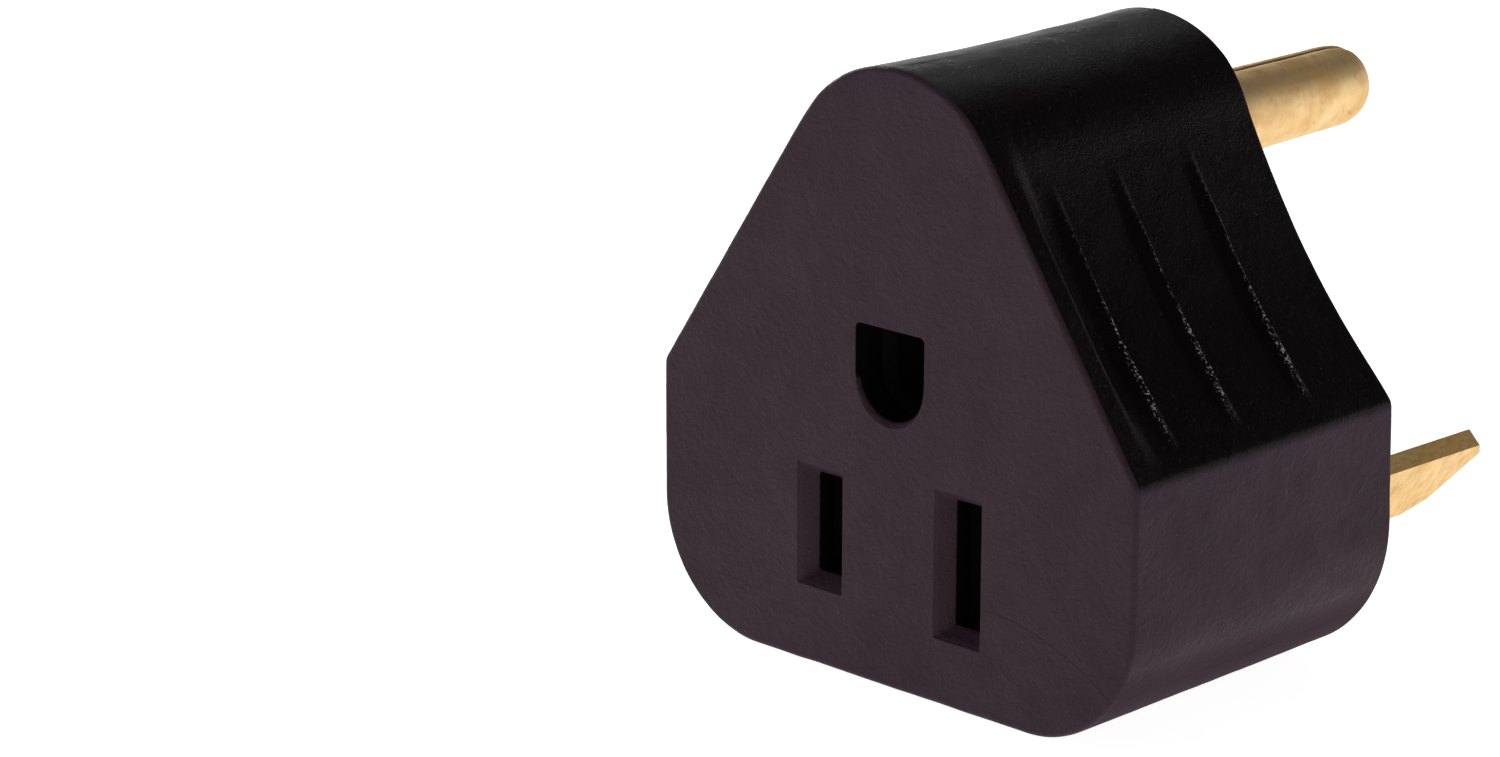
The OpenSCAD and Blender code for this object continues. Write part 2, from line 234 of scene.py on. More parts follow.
def half_outline(t):
    """Right half of the body's outline at t, from 0 at the receptacle face to 1 at the plug face.

    Returns the points, each one's share of the flank, or -1 off it, and how many make the ridge.
    """
    n = body_columns()
    wide, foot, h, shoulder, ridge_r, corner_r = FRONT + t * (BACK - FRONT)
    wide, foot = wide / 2, foot / 2
    ridge_centre = np.array([0, h - ridge_r])
    dx, dz = wide, shoulder - ridge_centre[1]
    lean = math.atan2(dx, dz) - math.acos(ridge_r / math.hypot(dx, dz))
    normal = np.array([math.sin(lean), math.cos(lean)])
    along = np.array([normal[1], -normal[0]])
    tangent = ridge_centre + ridge_r * normal
    turn = math.pi / 2 - lean
    back_off = SHOULDER_FILLET * math.tan(turn / 2)
    start = np.array([wide, shoulder]) - along * back_off
    centre = start - normal * SHOULDER_FILLET

    a = np.linspace(0, lean, n["ridge"], endpoint=False)
    ridge = ridge_centre + ridge_r * np.column_stack([np.sin(a), np.cos(a)])
    ridge[:, 1] -= RIDGE_DIP * math.sin(math.pi * t) * (0.5 + 0.5 * np.cos(math.pi * a / lean))
    f = np.linspace(0, 1, n["flank"], endpoint=False)
    flank = tangent + f[:, None] * (start - tangent)
    a = lean + np.linspace(0, turn, n["shoulder"], endpoint=False)
    fillet = centre + SHOULDER_FILLET * np.column_stack([np.sin(a), np.cos(a)])
    split = PARTING_Z + PARTING_HALF
    z = np.concatenate([
        np.linspace(shoulder - back_off, split, n["upper"], endpoint=False),
        [split, PARTING_Z, PARTING_Z - PARTING_HALF],
        np.linspace(PARTING_Z - PARTING_HALF, corner_r, n["lower"])[1:-1],
    ])
    side = np.column_stack([foot + (wide - foot) * (z - corner_r) / (shoulder - corner_r), z])
    a = np.linspace(0, math.pi / 2, n["corner"], endpoint=False)
    low = np.column_stack([foot - corner_r + corner_r * np.cos(a), corner_r - corner_r * np.sin(a)])
    x = np.linspace(foot - corner_r, 0, n["bottom"], endpoint=False)
    bottom = np.column_stack([x, np.zeros(len(x))])
    parts = [ridge, flank, fillet, side, low, bottom]
    share = np.concatenate([np.full(len(p), -1.0) if p is not flank else f for p in parts])
    return np.concatenate(parts), share, len(ridge)


def full_outline(t):
    """The whole loop from the middle of the ridge: points, flank shares, sides and ridge count."""
    right, share, ridge_count = half_outline(t)
    left = right[1:][::-1] * [-1, 1]
    foot = np.array([[0.0, 0.0]])
    loop = np.concatenate([right, foot, left])
    shares = np.concatenate([share, [-1], share[1:][::-1]])
    side = np.concatenate([np.ones(len(right)), [0], -np.ones(len(left))])
    return loop, shares, side, ridge_count


def rib_marks(f, d, side):
    """Ribs, painted glints on crests, slits beside them and painted sheen, at flank shares f and depths d.
    """
    ribs, crest_glint, slit, sheen_and_scratches = [np.zeros(np.broadcast_shapes(f.shape, d.shape)) for _ in range(4)]
    for way, middles in RIB_DEPTHS.items():
        here = side == way
        glint_width, glint_strength, sheen_strength = RIB_GLINTS[way]
        for i, middle in enumerate(middles):
            wander = 0.12 * speckle(f * 4 + 7 * i, np.full_like(f, 3.5 + way), 5)
            past = d - middle - wander
            slope = np.where(past < 0, smooth(0, RIB_RISE, -past), smooth(0, RIB_FALL, past))
            chips = speckle(f * 150 + 9 * i, d * 9, 11) * smooth(0.4, 0.7, f)
            span = smooth(0.1, 0.36, f) * fade(0.74, 0.95, f)
            ribs += np.where(here, (1 - slope) * span * (1 + 0.12 * chips), 0)
            width = (0.16 + 0.28 * smooth(0.5, 0.8, f)) * glint_width
            glint_band = fade(0.3 * width, width, np.abs(past + 0.05)) * (0.25 + 0.75 * smooth(0.42, 0.66, f))
            crest_glint += np.where(here, glint_band * span * glint_strength, 0)
            sheen = fade(0.05, 0.45, np.abs(past + 0.25)) * smooth(0.12, 0.5, f) * fade(0.6, 0.9, f)
            sheen_and_scratches += np.where(here, sheen_strength * sheen, 0)
            cut = fade(0.10, 0.17, np.abs(past - 0.32)) * smooth(0.36, 0.38, f) * fade(0.62, 0.78, f)
            slit += np.where(here, cut, 0)
    return ribs, crest_glint, slit, sheen_and_scratches


def scratches(f, d, side):
    """Strength of the pale scratches low on the line side's flank."""
    marks = []
    for i, (start, lean, top) in enumerate(SCRATCHES):
        mark = np.exp(-((d - start - lean * (f - 0.9)) / MARK_HALF) ** 2)
        mark = mark * smooth(top, top + 0.05, f) * fade(0.955 - 0.01 * i, 0.985, f)
        marks.append(np.where(side < 0, 0.55 * mark, 0))
    return sum(marks)


def gate_marks(d, z, side):
    """Depth of the ripples round the gate mark and of the parting line that meets them, and painted shade
    in both.
    """
    radius = np.hypot(d - SWIRL_DEPTH, (z - SWIRL_Z) / SWIRL_STRETCH)
    angle = np.arctan2(z - SWIRL_Z, d - SWIRL_DEPTH)
    waver = 0.14 * speckle(radius * 0.8, angle * 1.4, 21)
    ripple = 0.5 + 0.5 * np.cos(2 * np.pi * (radius / RING_PITCH + waver))
    reach = smooth(1.0, 2.2, radius) * fade(SWIRL_R - 1.2, SWIRL_R, radius)
    reach = np.where((side < 0) & (z < SWIRL_TOP), reach, 0)
    on_line = (side < 0) & (np.abs(z - PARTING_Z) < 0.01) & (d > SWIRL_DEPTH + SWIRL_R - 0.4)
    sink = RING_D * ripple ** 2 * reach + np.where(on_line, PARTING_D, 0)
    return sink, np.where(on_line, 1.0, 0.85 * ripple ** 3 * reach)


def knit_line(d, x, side):
    """Depth of the faint line across the ridge where two flows of vinyl met."""
    waver = 0.3 * speckle(x, np.full_like(x, 2.5), 61)
    line = np.exp(-((d - KNIT_DEPTH - KNIT_LEAN * x + waver) / MARK_HALF) ** 2)
    return np.where(side > 0, KNIT_D * line * smooth(0.5, 1.5, x) * fade(5.5, 7.5, x), 0)


def uneven_skin(loop, d):
    """Depth of the very shallow unevenness of the moulded skin."""
    steps = np.linalg.norm(np.diff(loop, axis=0, prepend=loop[:1]), axis=1)
    lap = np.cumsum(steps)[None, :]
    broad = 0.02 * (1 + speckle(lap / 2.3, d / 2.6, 31))
    return broad + 0.008 * (1 + speckle(lap / 0.7, d / 0.8, 32))


def soften_ridge(loops, ridge_count):
    """Rounds the line where the ridge turns into a flank."""
    n = loops.shape[1]
    reach = 9 // COARSE
    for _ in range(60 // COARSE):
        for joint in (ridge_count, n - ridge_count):
            band = np.arange(joint - reach, joint + reach)
            around = loops[:, band - 1] + loops[:, (band + 1) % n]
            loops[:, band] = 0.5 * loops[:, band] + 0.25 * around


def body_rings():
    """Every ring of the outer skin between the two faces' fillets, with its finish and painted light
    values.
    """
    depths = np.concatenate([
        np.linspace(FRONT_FILLET, DISH_FROM, max(3, 10 // COARSE), endpoint=False),
        np.linspace(DISH_FROM, DISH_FULL, max(3, 12 // COARSE), endpoint=False),
        np.linspace(DISH_FULL, BODY_D - BACK_FILLET, 176 // COARSE),
    ])
    outlines = [full_outline(d / BODY_D) for d in depths]
    plain = np.array([outline[0] for outline in outlines])
    _, shares, side, ridge_count = outlines[0]
    on_flank = (shares >= 0)[None, :]
    f = np.clip(shares, 0, 1)[None, :]
    side = side[None, :]
    d = depths[:, None]
    x, z = plain[:, :, 0], plain[:, :, 1]

    hollow = DISH_RISE * (4 * f * (1 - f)) ** (0.75 + 0.6 * f)
    hollow = hollow * smooth(DISH_FROM, DISH_FULL, d)
    ribs, crest_glint, slit, sheen_and_scratches = rib_marks(f, d, side)
    sheen_and_scratches = sheen_and_scratches + scratches(f, d, side)
    sink, groove_shade = gate_marks(d, z, side)
    push = np.where(on_flank, RIB_HEIGHT * ribs - hollow - SLIT_D * slit, 0)
    push = push - sink - knit_line(d, x, side) - uneven_skin(plain[0], d)
    loops = plain + loop_normals(plain) * push[:, :, None]
    soften_ridge(loops, ridge_count)

    shoulder = FRONT_SHOULDER + d / BODY_D * (BACK_SHOULDER - FRONT_SHOULDER)
    # the ridge and flanks above the shoulder: a glossier finish, and a darker colour that is painted shade
    gloss_and_shade = smooth(-0.7, 0.1, z - shoulder)
    finish = {
        "gloss_and_shade": gloss_and_shade,
        "crest_glint": np.where(on_flank, crest_glint, 0),
        # painted shade: near black in the slits beside the ribs, in the ripple troughs and in the parting
        # line
        "inside": np.where(on_flank, 0.9 * slit, groove_shade),
        "under": fade(3.5, 9.5, z),
        "sheen_and_scratches": np.where(on_flank, sheen_and_scratches, 0),
        # painted light: the line side below the shoulder takes the plug end's greyer tint
        "painted_light_side": np.where(side < 0, 1 - gloss_and_shade, 0),
    }
    return depths, loops, finish


def fillet_rings(loop, radius, depth_at):
    """Rings of a quarter-round from the flat face to the side, the face's own ring first."""
    rings = []
    for a in np.linspace(0, math.pi / 2, FILLET_STEPS, endpoint=False):
        inset = radius * (1 - math.sin(a))
        rings.append((grown(loop, -inset), depth_at(radius * (1 - math.cos(a)))))
    return rings


def rounded_rectangle(width, height, radius, steps=6):
    """Loop about the origin, with so many points round each corner."""
    arcs = []
    for quarter, (sx, sz) in enumerate([(1, 1), (1, -1), (-1, -1), (-1, 1)]):
        a = (quarter + np.linspace(0, 1, steps)) * math.pi / 2
        centre = np.array([sx * (width / 2 - radius), sz * (height / 2 - radius)])
        arcs.append(centre + radius * np.column_stack([np.sin(a), np.cos(a)]))
    loop = []
    for arc, following in zip(arcs, arcs[1:] + arcs[:1]):
        share = np.linspace(0, 1, 11)[1:-1, None]
        loop += [arc, arc[-1] + share * (following[0] - arc[-1])]
    return np.concatenate(loop)


def ground_loop(grow):
    """Opening for the ground pin: flat above, round below, clockwise from the top left."""
    r = GROUND_R
    top = GROUND_ARC_Z + r + 0.1
    inner = r - GROUND_CORNER
    a = np.linspace(0, math.pi / 2, 6)
    corner_x, corner_z = GROUND_CORNER * np.sin(a), GROUND_CORNER * np.cos(a)
    right_corner = np.column_stack([inner + corner_x, top - GROUND_CORNER + corner_z])
    a = np.linspace(math.pi / 2, 3 * math.pi / 2, 41)
    bowl_r = r + grow * (1 - np.abs(np.sin(a)) ** 3)
    bowl = np.column_stack([bowl_r * np.sin(a), GROUND_ARC_Z + bowl_r * np.cos(a)])
    left_corner = right_corner[::-1] * [-1, 1]
    across = np.column_stack([np.linspace(-inner, inner, 9)[1:-1], np.full(7, top)])
    return np.concatenate([across, right_corner, bowl, left_corner])


def slot_rings(side):
    """Rings of one bevelled slot from the face inwards."""
    centre = np.array([side * SLOT_X, SLOT_Z])
    funnel = []
    for share in np.linspace(0, 1, FUNNEL_STEPS + 1):
        width = SLOT_W + 2 * FUNNEL_X * (1 - share)
        length = SLOT_LENGTHS[side] + 2 * FUNNEL_Z * (1 - share)
        corner = FUNNEL_CORNER + (SLOT_CORNER - FUNNEL_CORNER) * share
        funnel.append((centre + rounded_rectangle(width, length, corner), FUNNEL_D * share))
    mouth, inner = funnel[0][0], grown(funnel[-1][0], -0.04)
    lip = [(grown(mouth, SLOT_LIP), 0.0), (grown(mouth, 0.3 * SLOT_LIP), 0.02), (mouth, 0.09)]
    return lip + funnel[1:] + [(inner, FUNNEL_D + 0.08), (inner, HOLE_D)]


def ground_rings():
    """Rings of the ground opening from the face inwards."""
    bevel = [(ground_loop(GROUND_BEVEL * (1 - s)), GROUND_BEVEL * s) for s in np.linspace(0, 1, 4)]
    mouth, inner = bevel[0][0], grown(bevel[-1][0], -0.03)
    lip = [(grown(mouth, 0.06), 0.0), (mouth, 0.05)]
    return lip + bevel[1:] + [(inner, GROUND_BEVEL + 0.1), (inner, HOLE_D)]


def root_rings(loop, seed, flash):
    """Plastic round a blade or the pin: a thin raised rim, then the wall down to the carrier."""
    lap = np.linspace(0, 26, len(loop))
    rise = flash * (1 + 0.5 * speckle(lap, np.full(len(loop), 2.5), seed))
    steps = [(0.42, 0, 0), (0.30, 0.35, 0), (0.20, 1, 0), (0.12, 0.9, 0), (0.07, 0, 0.05), (0.06, 0, 0.5)]
    rings = [(grown(loop, gap), BODY_D + share * rise - drop) for gap, share, drop in steps]
    return rings + [(grown(loop, 0.06), CARRIER_D)]


def leaning_loop(side):
    """Section of a blade, which leans 45 degrees."""
    x, z = rounded_rectangle(BLADE_T, BLADE_W, 0.12, 5).T
    turned = math.sqrt(0.5) * np.column_stack([x + z * side, z - x * side])
    return turned + [side * BLADE_X, BLADE_Z]


def pin_loop():
    """Section of the ground pin."""
    a = np.linspace(0, 2 * math.pi, 96, endpoint=False)
    return np.column_stack([PIN_R * np.sin(a), PIN_Z + PIN_R * np.cos(a)])


def hole_shade(loop, d, mouth):
    """Painted shade in an opening: 1 past its bevel, and on the ground opening's upper part, which has no
    bevel.
    """
    plain = (mouth == GROUND_BEVEL) & (loop[:, 1] > GROUND_ARC_Z - 0.6) & (d > 0.01)
    return np.where(plain, 1.0, float(d > mouth + 0.04))


def make_body(material):
    skin = Skin()
    depths, loops, finish = body_rings()
    front = fillet_rings(loops[0], FRONT_FILLET, lambda e: e)
    back = fillet_rings(loops[-1], BACK_FILLET, lambda e: BODY_D - e)
    placed = front + list(zip(loops, depths)) + back[::-1]
    front_ring, back_ring = skin.tube([loop_at(loop, d) for loop, d in placed])
    ends = ((len(front), len(back)), (0, 0))
    finish = {key: np.pad(value, ends).ravel() for key, value in finish.items()}

    front_holes, back_holes, painted_shades = [], [], [finish["inside"]]
    holes = [(slot_rings(-1), FUNNEL_D), (slot_rings(1), FUNNEL_D), (ground_rings(), GROUND_BEVEL)]
    for hole, mouth in holes:
        first, _ = skin.tube([loop_at(loop, d) for loop, d in hole], flip=True)
        front_holes.append(first)
        painted_shades += [hole_shade(loop, d, mouth) for loop, d in hole]
    finish["inside"] = np.concatenate(painted_shades)
    roots = [(leaning_loop(-1), 41, 0.09), (leaning_loop(1), 42, 0.13), (pin_loop(), 43, 0.07)]
    for loop, seed, flash in roots:
        first, _ = skin.tube([loop_at(ring, d) for ring, d in root_rings(loop, seed, flash)])
        back_holes.append(first)
    attributes = {key: np.pad(value, (0, skin.count - len(value))) for key, value in finish.items()}
    caps = [([front_ring] + front_holes, (0, -1, 0)), ([back_ring] + back_holes, (0, 1, 0))]
    return mesh_object("overmold", skin, material, caps, attributes)


# ---------------------------------------------------------------- folded ground pin

# X and Z from the axis, in pin radii, and on the straight stretch also the distance back from the tip
SEAM = [
    (0.0, 1.0, 30.0), (0.0, 1.0, 3.2), (0.2, 0.84), (0.42, 0.5), (0.52, 0.12), (0.46, -0.25), (0.2, -0.55),
    (-0.2, -0.72), (-0.6, -0.7), (-0.86, -0.51, 4.6), (-0.88, -0.475, 6.4), (-0.72, -0.69, 6.6),
]
DOME_POWER = 2.9
LIP_LENGTH, LIP_D = 6.5, 0.18
BURR_X, BURR_Z, BURR_PROUD = -0.525, 0.85, 0.8  # X and Z as a direction from the axis


def distance_to_path(points, path):
    """Distance from each point to the nearest place on a path of straight pieces."""
    best = np.full(len(points), np.inf)
    for a, b in zip(path, path[1:]):
        ab = b - a
        t = np.clip(((points - a) @ ab) / (ab @ ab), 0, 1)
        best = np.minimum(best, np.linalg.norm(points - a - t[:, None] * ab, axis=1))
    return best


def seam_point(x, z, back=None):
    """A place on the seam, from the pin's axis; on the dome its distance from the tip follows."""
    if back is None:
        back = PIN_DOME * (1 - (1 - math.hypot(x, z) ** DOME_POWER) ** (1 / DOME_POWER))
    return x * PIN_R, PIN_TIP - back, z * PIN_R


def pin_profile():
    """Radius and Y from the root to the tip: neck, straight stretch, blunt dome."""
    neck = [(PIN_R - PIN_NECK, y) for y in np.linspace(PIN_ROOT, PLUG_Y - 0.25, 8)]
    step = [(PIN_R - PIN_NECK * 0.4, PLUG_Y - 0.15), (PIN_R, PLUG_Y - 0.05)]
    dome_y = PIN_TIP - PIN_DOME
    straight = [(PIN_R, y) for y in np.linspace(PLUG_Y + 0.1, dome_y, 150 // COARSE, endpoint=False)]
    a = np.linspace(0, math.pi / 2, 44 // COARSE, endpoint=False)
    power = 2 / DOME_POWER
    dome = [(PIN_R * math.cos(t) ** power, dome_y + PIN_DOME * math.sin(t) ** power) for t in a]
    return neck + step + straight + dome


def make_pin(material):
    """The pin as rolled from sheet: groove along the fold, a lip at its end, small dents and a burr."""
    count = 192 // COARSE
    a = np.linspace(0, 2 * math.pi, count, endpoint=False)
    seam = np.array([seam_point(*place) for place in SEAM])
    rings, marks = [], []
    for r, y in pin_profile():
        x, z = r * np.sin(a), r * np.cos(a)
        gap = distance_to_path(np.column_stack([x, np.full(count, y), z]), seam)
        groove = 0.30 * np.clip(1 - gap / 0.32, 0, 1) ** 1.5 + 0.12 * np.clip(1 - gap / 0.8, 0, 1) ** 2
        back, past = PIN_TIP - y, y - PLUG_Y
        on_lip = (x < 0.2 * PIN_R) & (z < -0.5 * PIN_R)
        lip = np.where(on_lip, LIP_D * fade(LIP_LENGTH - 0.3, LIP_LENGTH, back), 0)
        dent = 0.018 * (1 + speckle(a * 5 + 3, np.full(count, y / 1.7), 51))
        burr = BURR_PROUD * fade(0.25, 0.62, np.hypot(x - BURR_X * r, z - BURR_Z * r))
        burr = burr * fade(0.5, 0.95, past) * (past > 0)
        out = max(0, past) / (PIN_TIP - PLUG_Y)
        scale = (r - groove - lip - dent + burr) / r * (1 - PIN_TAPER / PIN_R * out)
        depth = y - 0.15 * groove * (back < PIN_DOME)
        rings.append(np.column_stack([x * scale, depth, PIN_Z + PIN_LIFT * out + z * scale]))
        marks.append(np.clip(groove / 0.2, 0, 1))
    skin = Skin()
    first, last = skin.tube(rings)
    skin.fan(last, (0, PIN_TIP - 0.005, PIN_Z + PIN_LIFT))
    skin.fan(first, (0, PIN_ROOT, PIN_Z), flip=True)
    attributes = {"seam": np.concatenate(marks + [np.zeros(2)])}
    return mesh_object("folded_pin", skin, material, attributes=attributes)


# ---------------------------------------------------------------- materials


class Tree:
    """A principled material with short calls for the nodes used here."""

    def __init__(self, name, **sockets):
        self.material = bpy.data.materials.new(name)
        self.material.use_nodes = True
        self.nodes = self.material.node_tree.nodes
        self.links = self.material.node_tree.links
        self.nodes.clear()
        output = self.nodes.new("ShaderNodeOutputMaterial")
        self.shader = self.nodes.new("ShaderNodeBsdfPrincipled")
        self.links.new(self.shader.outputs[0], output.inputs["Surface"])
        self.set(**sockets)
        self.place = self.nodes.new("ShaderNodeTexCoord").outputs["Object"]

    def set(self, **sockets):
        """Sets the shader's sockets, each to a constant or to another node's output."""
        for key, value in sockets.items():
            self.put(self.shader.inputs[key.replace("_", " ").title().replace("Ior", "IOR")], value)

    def put(self, socket, value):
        if isinstance(value, bpy.types.NodeSocket):
            self.links.new(value, socket)
        elif value is not None:
            socket.default_value = value

    def node(self, kind, ins=(), out=0, **props):
        """Adds a node and returns one of its outputs."""
        made = self.nodes.new("ShaderNode" + kind)
        for key, value in props.items():
            setattr(made, key, value)
        for key, value in dict(ins).items():
            self.put(made.inputs[key], value)
        return made.outputs[out]

    def math(self, operation, a, b=0.0):
        return self.node("Math", {0: a, 1: b}, operation=operation)

    def axes(self):
        """X, Y and Z of the shaded point, in metres."""
        split = self.nodes.new("ShaderNodeSeparateXYZ")
        self.links.new(self.place, split.inputs[0])
        return split.outputs

    def stretch(self, scale, turn=(0, 0, 0)):
        """Coordinates in which a texture is that much longer along each turned axis."""
        ins = {"Vector": self.place, "Scale": scale, "Rotation": turn}
        return self.node("Mapping", ins, vector_type="TEXTURE")

    def noise(self, size, detail=3.0, rough=0.5, vector=None, distortion=0.0):
        """Noise whose lumps are about size millimetres across."""
        ins = {"Vector": vector or self.place, "Scale": 1 / (size * MM), "Detail": detail,
               "Roughness": rough, "Distortion": distortion}
        return self.node("TexNoise", ins)

    def span(self, value, low, high, to_low=0.0, to_high=1.0):
        """S-curve from to_low, at low, to to_high, at high."""
        return self.node("MapRange", {0: value, 1: low, 2: high, 3: to_low, 4: to_high},
                         interpolation_type="SMOOTHSTEP")

    def mix(self, share, a, b):
        made = self.nodes.new("ShaderNodeMix")
        made.data_type = "RGBA"
        self.put(made.inputs["Factor"], share)
        self.put(made.inputs[6], a)
        self.put(made.inputs[7], b)
        return made.outputs[2]

    def attribute(self, name):
        return self.node("Attribute", out=2, attribute_name=name)

    def bump(self, height, depth, normal=None):
        """Bump whose height of 1 is worth depth millimetres, on top of an earlier bump."""
        ins = {"Height": height, "Strength": 1.0, "Distance": depth * MM, "Normal": normal}
        return self.node("Bump", ins)


FLOW_X, FLOW_Z, FLOW_HALF = 9.0, 7.7, 0.14


def flow_mark(tree, x, z):
    """A faint curved line low on the receptacle face, where the vinyl flowed round a slot."""
    bow = tree.math("POWER", tree.math("MAXIMUM", tree.math("SUBTRACT", x, FLOW_X * MM), 0.0), 2.0)
    above = tree.math("ADD", z, tree.math("MULTIPLY", bow, 0.03 / MM))
    off_line = tree.math("ABSOLUTE", tree.math("SUBTRACT", above, FLOW_Z * MM))
    along = tree.span(x, (FLOW_X - 0.4) * MM, (FLOW_X + 0.6) * MM)
    return tree.math("MULTIPLY", tree.span(off_line, FLOW_HALF * MM, 0.0), along)


def vinyl_colour(tree, marks, flow, y):
    """Cloudy matte vinyl with dust and scratches, painted shade on sleek parts and recesses, painted
    glints, sheen and tint.
    """
    cloud = tree.noise(7.0, 4.0)
    matte = tree.mix(tree.span(cloud, 0.3, 0.7), (0.0452, 0.0242, 0.0356, 1), (0.0378, 0.0202, 0.0298, 1))
    # painted light: a greyer tint on the plug end and the line side's lower part, for the different light
    # on them
    painted_light_tint = tree.mix(tree.span(cloud, 0.35, 0.65), (0.044, 0.032, 0.038, 1), (0.032, 0.0225, 0.0270, 1))
    plug_end = tree.span(y, (PLUG_Y - 0.35) * MM, (PLUG_Y - 0.1) * MM)
    matte = tree.mix(tree.math("MAXIMUM", plug_end, marks["painted_light_side"]), matte, painted_light_tint)
    # painted shade: the sleek ridge and flanks get a far darker colour than the matte vinyl
    colour = tree.mix(marks["gloss_and_shade"], matte, (0.0042, 0.0016, 0.0030, 1))
    dust = tree.span(tree.noise(0.28, 2.0), 0.72, 0.78)
    glint_flecks = tree.span(tree.noise(0.2, 3.0, 0.7), 0.54, 0.64)
    layers = [
        (tree.math("MULTIPLY", dust, 0.5), (0.10, 0.092, 0.095, 1)),
        # painted shade: near black deep in the openings, in the slits, ripple troughs and parting line
        (marks["inside"], (0.0006, 0.0005, 0.0006, 1)),
        # painted shade: the flow line's shallow groove is darkened in the colour as well as bumped
        (tree.math("MULTIPLY", flow, 0.3), (0.008, 0.004, 0.006, 1)),
        # painted highlight: pale flecks along the rib crests stand in for glints
        (tree.math("MULTIPLY", glint_flecks, marks["crest_glint"]), (0.75, 0.71, 0.70, 1)),
        # pale scratches on the line side's flank, and a painted sheen along its ribs
        (tree.math("MULTIPLY", marks["sheen_and_scratches"], 0.6), (0.40, 0.37, 0.39, 1)),
    ]
    for share, tint in layers:
        colour = tree.mix(share, colour, tint)
    return colour


def vinyl_roughness(tree, marks):
    """Satin on the sleek parts, matte elsewhere, and dull in the recesses and underneath."""
    patch = tree.noise(2.4, 5.0, 0.6)
    matte, sleek = tree.span(patch, 0.3, 0.7, 0.44, 0.58), tree.span(patch, 0.3, 0.7, 0.25, 0.36)
    rough = tree.node("Mix", {0: marks["gloss_and_shade"], 2: matte, 3: sleek})
    for key in ("inside", "under"):
        rough = tree.math("MAXIMUM", rough, tree.math("MULTIPLY", marks[key], 0.9))
    return rough


def vinyl():
    tree = Tree("black_vinyl", specular_ior_level=0.09)
    marks = {key: tree.attribute(key) for key in ("gloss_and_shade", "crest_glint", "inside", "under", "sheen_and_scratches", "painted_light_side")}
    x, y, z = tree.axes()
    flow = flow_mark(tree, x, z)
    grain = tree.noise(0.16, 2.0, 0.6)
    pebble_share = tree.span(marks["gloss_and_shade"], 0.0, 1.0, 1.0, 0.3)
    pebble = tree.math("MULTIPLY", tree.noise(0.45, 3.0, 0.55), pebble_share)
    scratch = tree.noise(0.5, 2.0, 0.5, tree.stretch((0.25, 1.0, 6.0), (0.2, 0.5, 0.9)))
    scratch = tree.span(scratch, 0.66, 0.74)
    sparkle = tree.math("MULTIPLY", tree.noise(0.22, 2.0, 0.7), marks["crest_glint"])
    normal = None
    for height, depth in ((grain, 0.04), (pebble, 0.095), (flow, -0.02), (scratch, 0.014), (sparkle, 0.09)):
        normal = tree.bump(height, depth, normal)
    colour = vinyl_colour(tree, marks, flow, y)
    tree.set(base_color=colour, roughness=vinyl_roughness(tree, marks), normal=normal)
    return tree.material


def brass(name, tints, rough, turn=0.0, streaks=0.0, seam=False):
    """Brass with cloudy tarnish, fine scratches and, on a blade, slanting rolling marks."""
    tree = Tree(name, metallic=1.0)
    bright, warm, dull = [tint + (1,) for tint in tints]
    cloud = tree.noise(3.2, 5.0, 0.62)
    stain = tree.span(tree.noise(1.1, 5.0, 0.7, distortion=0.6), 0.52, 0.78)
    colour = tree.mix(tree.span(cloud, 0.35, 0.65), bright, warm)
    colour = tree.mix(tree.math("MULTIPLY", stain, 0.65), colour, dull)
    fine = tree.noise(0.5, 2.0, 0.5, tree.stretch((1.0, 12.0, 1.0), (0, turn, 0)))
    height = tree.math("MULTIPLY", fine, 0.5)
    if streaks:
        slant = tree.stretch((0.35, 0.55, 3.2), (0.55, turn, 0))
        marks = tree.span(tree.noise(1.0, 3.0, 0.6, slant), 0.42, 0.7)
        colour = tree.mix(tree.math("MULTIPLY", marks, streaks), colour, dull)
        height = tree.math("SUBTRACT", height, tree.math("MULTIPLY", marks, 0.8))
    if seam:
        mark = tree.span(tree.attribute("seam"), 0.35, 0.9)
        colour = tree.mix(tree.math("MULTIPLY", mark, 0.85), colour, (0.20, 0.11, 0.035, 1))
    pits = tree.span(tree.noise(0.25, 3.0, 0.6), 0.62, 0.72)
    height = tree.math("SUBTRACT", height, tree.math("MULTIPLY", pits, 0.5))
    roughness = tree.span(cloud, 0.3, 0.7, rough - 0.06, rough + 0.08)
    roughness = tree.math("ADD", roughness, tree.math("MULTIPLY", stain, 0.12))
    tree.set(base_color=colour, roughness=roughness, normal=tree.bump(height, 0.02))
    return tree.material


def rigid_plastic():
    """Dark plastic of the inner mouldings."""
    tree = Tree("rigid_plastic", specular_ior_level=0.2)
    colour = tree.mix(tree.noise(1.6, 4.0), (0.005, 0.0045, 0.0048, 1), (0.010, 0.009, 0.0095, 1))
    rough = tree.span(tree.noise(0.8, 3.0), 0.3, 0.7, 0.6, 0.75)
    tree.set(base_color=colour, roughness=rough, normal=tree.bump(tree.noise(0.2), 0.02))
    return tree.material


def plated_rivet():
    """Tin-plated steel with a mottled surface."""
    tree = Tree("plated_rivet", metallic=1.0)
    colour = tree.mix(tree.noise(0.7, 4.0), (0.62, 0.60, 0.55, 1), (0.42, 0.40, 0.36, 1))
    rough = tree.span(tree.noise(0.3, 3.0), 0.3, 0.7, 0.22, 0.4)
    tree.set(base_color=colour, roughness=rough, normal=tree.bump(tree.noise(0.4), 0.03))
    return tree.material


